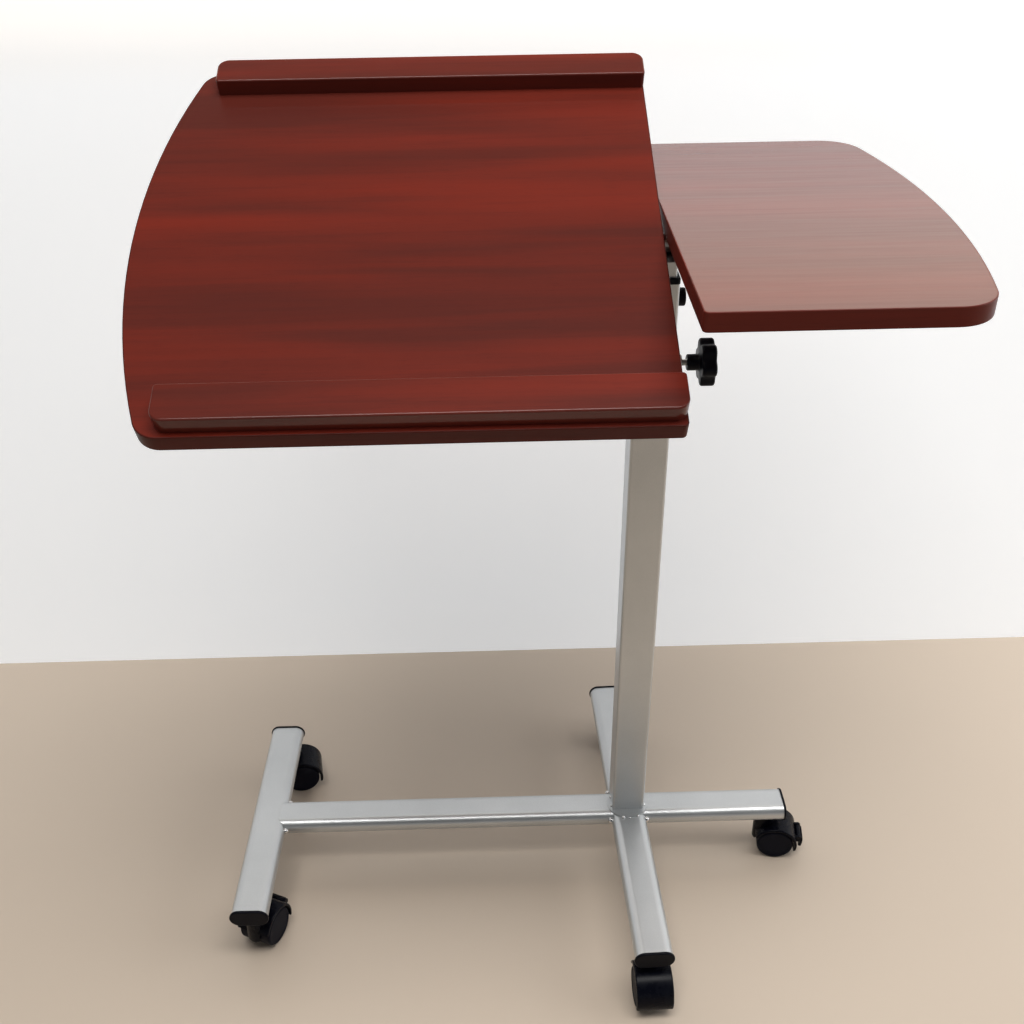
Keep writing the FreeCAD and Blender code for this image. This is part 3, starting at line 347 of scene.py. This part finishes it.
def axis_frame(start, direction):
    """Matrix whose X axis runs along a direction from a start point."""
    turn = Vector(direction).to_track_quat("X", "Z").to_matrix().to_4x4()
    return Matrix.Translation(start) @ turn


def ring_skin(name, rings, sides, shape, placing, material):
    """A closed skin over rings round the X axis.

    shape(ring, angle) gives x and the radius, in millimetres, of each point of a ring.
    """
    mesh = bpy.data.meshes.new(name)
    skin = bmesh.new()
    loops = []
    for ring in rings:
        loop = []
        for side in range(sides):
            angle = 2 * math.pi * side / sides
            x, radius = shape(ring, angle)
            y = radius * math.cos(angle) * MM
            z = radius * math.sin(angle) * MM
            loop.append(skin.verts.new((x * MM, y, z)))
        loops.append(loop)
    for near, far in zip(loops, loops[1:]):
        for side in range(sides):
            after = (side + 1) % sides
            skin.faces.new((near[side], near[after], far[after], far[side]))
    for loop in (loops[0], loops[-1]):
        centre = sum((vert.co for vert in loop), Vector()) / sides
        middle = skin.verts.new(centre)
        for side in range(sides):
            skin.faces.new((loop[side], loop[(side + 1) % sides], middle))
    bmesh.ops.recalc_face_normals(skin, faces=skin.faces)
    skin.to_mesh(mesh)
    skin.free()
    mesh.transform(placing)
    mesh.materials.append(material)
    made = bpy.data.objects.new(name, mesh)
    bpy.context.collection.objects.link(made)
    mesh.shade_smooth()
    mesh.set_sharp_from_angle(angle=math.radians(35))
    return made


def knob_rings():
    """The star knob's profile: (x, radius at a lobe's tip, how much of the lobes shows)."""
    rings = [
        (0.0, KNOB_HUB_RADIUS - 0.8, 0.0),
        (0.8, KNOB_HUB_RADIUS, 0.0),
        (KNOB_HUB_END - 1.4, KNOB_HUB_RADIUS, 0.0),
        (KNOB_HUB_END - 0.6, KNOB_HUB_RADIUS + 0.5, 0.0),
        (KNOB_HUB_END, KNOB_HUB_RADIUS + 1.8, 0.0),
    ]
    inner = KNOB_TIP_RADIUS - KNOB_RIM
    rings.append((KNOB_HUB_END, inner, 1.0))
    for step in range(1, ROUND_STEPS + 1):
        turn = math.pi / 2 * step / ROUND_STEPS
        x = KNOB_HUB_END + KNOB_RIM * (1 - math.cos(turn))
        rings.append((x, inner + KNOB_RIM * math.sin(turn), 1.0))
    for step in range(ROUND_STEPS + 1):
        turn = math.pi / 2 * step / ROUND_STEPS
        x = KNOB_HEAD_END - KNOB_RIM * (1 - math.sin(turn))
        rings.append((x, inner + KNOB_RIM * math.cos(turn), 1.0))
    rings += [(KNOB_HEAD_END - depth, radius, lobes) for depth, radius, lobes in KNOB_DISH]
    return rings


def knob_shape(ring, angle):
    """Sinks valleys between the lobes of a knob's ring."""
    x, radius, lobes = ring
    wave = 0.5 - 0.5 * math.cos(KNOB_LOBES * angle)
    return x, radius - (KNOB_TIP_RADIUS - KNOB_VALLEY_RADIUS) * lobes * wave ** KNOB_LOBE_SHARPNESS


def star_knob(name, node, body, start, direction, material):
    """A star knob in place of a CAD node, with its hub's end at start."""
    knob = ring_skin(name, knob_rings(), KNOB_SIDES, knob_shape, axis_frame(start, direction), material)
    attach(knob, body)
    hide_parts(node)
    return knob


def thread_shape(ring, angle):
    """The radius of a screw thread at an angle; strength is how deep it is cut."""
    x, strength = ring
    phase = (x / THREAD_PITCH - angle / (2 * math.pi)) % 1.0
    groove = 1 - abs(2 * phase - 1)
    return x, STUD_RADIUS - 0.02 - THREAD_DEPTH * groove * strength


def threaded_rod(name, start, direction, length, material):
    """Rod with a helical thread along its whole length."""
    steps = int(length / THREAD_PITCH * RINGS_PER_TURN)
    rings = [(length * step / steps, 1.0) for step in range(steps + 1)]
    return ring_skin(name, rings, 32, thread_shape, axis_frame(start, direction), material)


# Wood screws
SCREW_HEAD_RADIUS = 3.75
SCREW_HEAD_HEIGHT = 2.4
SCREW_SIDES = 48
SHANK_RADIUS = STUD_RADIUS - 1.05
SHANK_THREAD_DEPTH = 0.35
TIP_LENGTH = 2.0
TIP_RADIUS = 0.3
RECESS_HALF_WIDTH = 0.55
RECESS_REACH = 2.1
RECESS_DEPTH = 1.1


def screw_rings(flat):
    """Profile of a cross-recess screw: (x, radius), x from the outside of the head to the tip."""
    head = SCREW_HEAD_RADIUS
    height = SCREW_HEAD_HEIGHT
    if flat:
        outside = [(0.0, head - 0.1), (0.1, head), (height - 0.1, SHANK_RADIUS)]
    else:
        outside = [
            (0.0, head * 0.62),
            (0.25, head * 0.80),
            (0.75, head * 0.95),
            (1.3, head),
            (height - 0.1, head),
            (height, head - 0.2),
            (height, SHANK_RADIUS),
        ]
    face = [(0.0, outside[0][1] * share) for share in (0.1, 0.22, 0.34, 0.46, 0.58, 0.70, 0.82, 0.92)]
    return face + outside


def recess_shape(ring, angle):
    """Sinks a cross into the flat of a screw's head."""
    x, radius = ring
    across = abs(radius * math.cos(angle))
    along = abs(radius * math.sin(angle))
    inside = min(across, along) < RECESS_HALF_WIDTH and max(across, along) < RECESS_REACH
    return (x + RECESS_DEPTH, radius) if inside and x < 0.01 else (x, radius)


def screw(name, surface, inward, flat, shank, material):
    """Cross-recess wood screw: surface is the outside of its head, shank its whole length."""
    rings = screw_rings(flat)
    last = rings[-1][0]
    steps = int(shank * 3)
    for step in range(1, steps):
        in_groove = step % 3 != 0
        x = last + (shank - last - TIP_LENGTH) * step / steps
        rings.append((x, SHANK_RADIUS - SHANK_THREAD_DEPTH * in_groove))
    rings.append((shank - 0.1, TIP_RADIUS))
    return ring_skin(name, rings, SCREW_SIDES, recess_shape, axis_frame(surface, inward), material)


def rough_centre(points):
    """The middle of some points, rounded so that equal places sort alike."""
    centre = sum(points, Vector()) / len(points)
    return tuple(round(value, 4) for value in centre)


def loose_parts(node):
    """The separate solids of a CAD node, each as the list of its points."""
    mesh = frame["nodes"][node].data
    skin = bmesh.new()
    skin.from_mesh(mesh)
    bmesh.ops.remove_doubles(skin, verts=skin.verts, dist=1e-6)
    left = set(skin.verts)
    parts = []
    while left:
        start = min(left, key=lambda vert: tuple(vert.co))
        group = {start}
        edge = [start]
        while edge:
            vert = edge.pop()
            for link in vert.link_edges:
                other = link.other_vert(vert)
                if other not in group:
                    group.add(other)
                    edge.append(other)
        left -= group
        parts.append(sorted((vert.co.copy() for vert in group), key=tuple))
    skin.free()
    return sorted(parts, key=rough_centre)


def make_screws(materials):
    """Cross-recess screws in place of the CAD's plain ones."""
    up = Vector((0, 0, 1))
    leaning = Vector((0, -math.sin(REST_TILT), math.cos(REST_TILT)))
    groups = (
        ("side_top_screws", up, "mast", False),
        ("main_top_screws", leaning, "tilting_top", False),
        ("ledge_screws", leaning, "tilting_top", True),
    )
    for node, inward, body, flat in groups:
        screws = []
        for number, points in enumerate(loose_parts(node)):
            depths = [point.dot(inward) for point in points]
            low = min(depths)
            head = [point for point, depth in zip(points, depths) if depth < low + 0.0001]
            surface = sum(head, Vector()) / len(head)
            length = (max(depths) - low) / MM
            name = node + "_" + str(number + 1)
            made = screw(name, surface, inward, flat, length, materials["zinc_steel"])
            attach(made, body)
            screws.append(made)
        for made in screws:
            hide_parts(node)


def axis_end(node, at_right):
    """The end point, left or right, of the X axis of a round node."""
    low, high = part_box(node)
    return Vector((high.x if at_right else low.x, (low.y + high.y) / 2, (low.z + high.z) / 2))


def make_knobs(materials):
    """The two star knobs and the height knob's threaded stud."""
    hub = axis_end("height_knob", at_right=False)
    star_knob("height_star_knob", "height_knob", "height_knob", hub, (1, 0, 0), materials["black_plastic"])
    hub = axis_end("tilt_knob", at_right=True)
    star_knob("tilt_star_knob", "tilt_knob", "tilt_knob", hub, (-1, 0, 0), materials["black_plastic"])
    low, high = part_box("height_stud")
    length = (high.x - low.x) / MM
    tip = axis_end("height_stud", at_right=False)
    stud = threaded_rod("height_threaded_stud", tip, (1, 0, 0), length, materials["zinc_steel"])
    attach(stud, "height_knob")
    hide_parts("height_stud")


# ---------------------------------------------------------------- stage

def plain_material(name, colour, roughness):
    """Matt colour with a hardly visible mottle."""
    g = Graph(name)
    cloud = g.noise(g.place, 3.0, 2.0, 0.5)
    shade = tuple(channel * 0.97 for channel in colour[:3]) + (1,)
    g.set(Base_Color=g.mix(cloud, colour, shade), Roughness=roughness)
    return g.material


def map_range(tree, value, source, target):
    """Map one range of a value to another, clamped."""
    node = tree.nodes.new("ShaderNodeMapRange")
    numbers = (("From Min", source[0]), ("From Max", source[1]), ("To Min", target[0]), ("To Max", target[1]))
    for name, number in numbers:
        node.inputs[name].default_value = number
    tree.links.new(value, node.inputs["Value"])
    return node.outputs["Result"]


def light_up_wall(material):
    """Glow that is even low down and rises above the picture, where the side top mirrors it."""
    tree = material.node_tree
    split = tree.nodes.new("ShaderNodeSeparateXYZ")
    tree.links.new(tree.nodes.new("ShaderNodeTexCoord").outputs["Object"], split.inputs[0])
    rise = map_range(tree, split.outputs["Z"], GLOW_HEIGHTS, (WALL_GLOW, WALL_TOP_GLOW))
    shader = tree.nodes["Principled BSDF"]
    tree.links.new(rise, shader.inputs["Emission Strength"])
    warmth = map_range(tree, split.outputs["Z"], TINT_HEIGHTS, (0.0, 1.0))
    tint = tree.nodes.new("ShaderNodeMix")
    tint.data_type = "RGBA"
    tree.links.new(warmth, tint.inputs[0])
    tint.inputs[6].default_value = WALL_COLOUR
    tint.inputs[7].default_value = WALL_TOP_COLOUR
    tree.links.new(tint.outputs[2], shader.inputs["Emission Color"])


def show_front_only(material):
    """Make a stage sheet clear from behind, so that it hides nothing from the other side."""
    tree = material.node_tree
    output = next(node for node in tree.nodes if node.type == "OUTPUT_MATERIAL")
    surface = output.inputs["Surface"].links[0].from_socket
    back = tree.nodes.new("ShaderNodeNewGeometry").outputs["Backfacing"]
    clear = tree.nodes.new("ShaderNodeBsdfTransparent").outputs["BSDF"]
    mixer = tree.nodes.new("ShaderNodeMixShader")
    tree.links.new(back, mixer.inputs["Fac"])
    tree.links.new(surface, mixer.inputs[1])
    tree.links.new(clear, mixer.inputs[2])
    tree.links.new(mixer.outputs["Shader"], output.inputs["Surface"])


def sheet(name, corners, material):
    """A flat four-cornered piece of the stage."""
    mesh = bpy.data.meshes.new(name)
    mesh.from_pydata(corners, [], [(0, 1, 2, 3)])
    made = bpy.data.objects.new(name, mesh)
    bpy.context.collection.objects.link(made)
    mesh.materials.append(material)
    return made


def make_stage():
    """Plain floor and wall."""
    floor = plain_material("stage_floor", FLOOR_COLOUR, FLOOR_ROUGHNESS)
    wall = plain_material("stage_wall", WALL_COLOUR, WALL_ROUGHNESS)
    light_up_wall(wall)
    show_front_only(wall)
    reach = FLOOR_REACH
    sheet("floor", [(-reach, -reach, 0), (reach, -reach, 0), (reach, reach, 0), (-reach, reach, 0)], floor)
    left, right, top = -WALL_REACH, WALL_REACH, WALL_HEIGHT
    corners = [(left, WALL_Y, 0), (right, WALL_Y, 0), (right, WALL_Y, top), (left, WALL_Y, top)]
    sheet("wall", corners, wall).visible_shadow = False


def area_light(name, place, size, power, colour):
    """A soft rectangular light aimed at the target."""
    lamp = bpy.data.lights.new(name, "AREA")
    lamp.shape = "RECTANGLE"
    lamp.size, lamp.size_y = size
    lamp.energy = power
    lamp.color = colour
    made = bpy.data.objects.new(name, lamp)
    bpy.context.collection.objects.link(made)
    made.location = place
    made.rotation_euler = (Vector(LIGHT_TARGET) - Vector(place)).to_track_quat("-Z", "Y").to_euler()
    return made


def make_lights():
    """Two area lights and a sky that darkens upwards."""
    area_light("overhead", OVERHEAD_PLACE, OVERHEAD_SIZE, OVERHEAD_POWER, OVERHEAD_COLOUR)
    area_light("window", WINDOW_PLACE, WINDOW_SIZE, WINDOW_POWER, WINDOW_COLOUR)
    world = bpy.data.worlds.new("studio")
    bpy.context.scene.world = world
    world.use_nodes = True
    tree = world.node_tree
    background = tree.nodes["Background"]
    background.inputs["Color"].default_value = SKY_COLOUR
    split = tree.nodes.new("ShaderNodeSeparateXYZ")
    tree.links.new(tree.nodes.new("ShaderNodeTexCoord").outputs["Generated"], split.inputs[0])
    fade = map_range(tree, split.outputs["Z"], SKY_HEIGHTS, (HORIZON_LIGHT, ZENITH_LIGHT))
    tree.links.new(fade, background.inputs["Strength"])
    bpy.context.scene.view_settings.view_transform = "Standard"


def make_camera():
    """Camera turned by yaw, then pitch, then roll."""
    yaw = math.radians(CAMERA_YAW)
    pitch = math.radians(CAMERA_PITCH)
    roll = math.radians(CAMERA_ROLL)
    forward = Vector((math.sin(yaw) * math.cos(pitch), math.cos(yaw) * math.cos(pitch), math.sin(pitch)))
    level_right = Vector((math.cos(yaw), -math.sin(yaw), 0))
    level_up = level_right.cross(forward)
    right = level_right * math.cos(roll) + level_up * math.sin(roll)
    up = level_up * math.cos(roll) - level_right * math.sin(roll)
    data = bpy.data.cameras.new("camera")
    data.lens = CAMERA_LENS
    data.sensor_width = SENSOR_WIDTH
    camera = bpy.data.objects.new("camera", data)
    bpy.context.collection.objects.link(camera)
    turn = Matrix((right, up, -forward)).transposed().to_4x4()
    camera.matrix_world = Matrix.Translation(CAMERA_PLACE) @ turn
    bpy.context.scene.camera = camera


MATERIALS = make_materials()
dress_nodes(MATERIALS)
make_knobs(MATERIALS)
make_screws(MATERIALS)
make_stage()
make_lights()
make_camera()
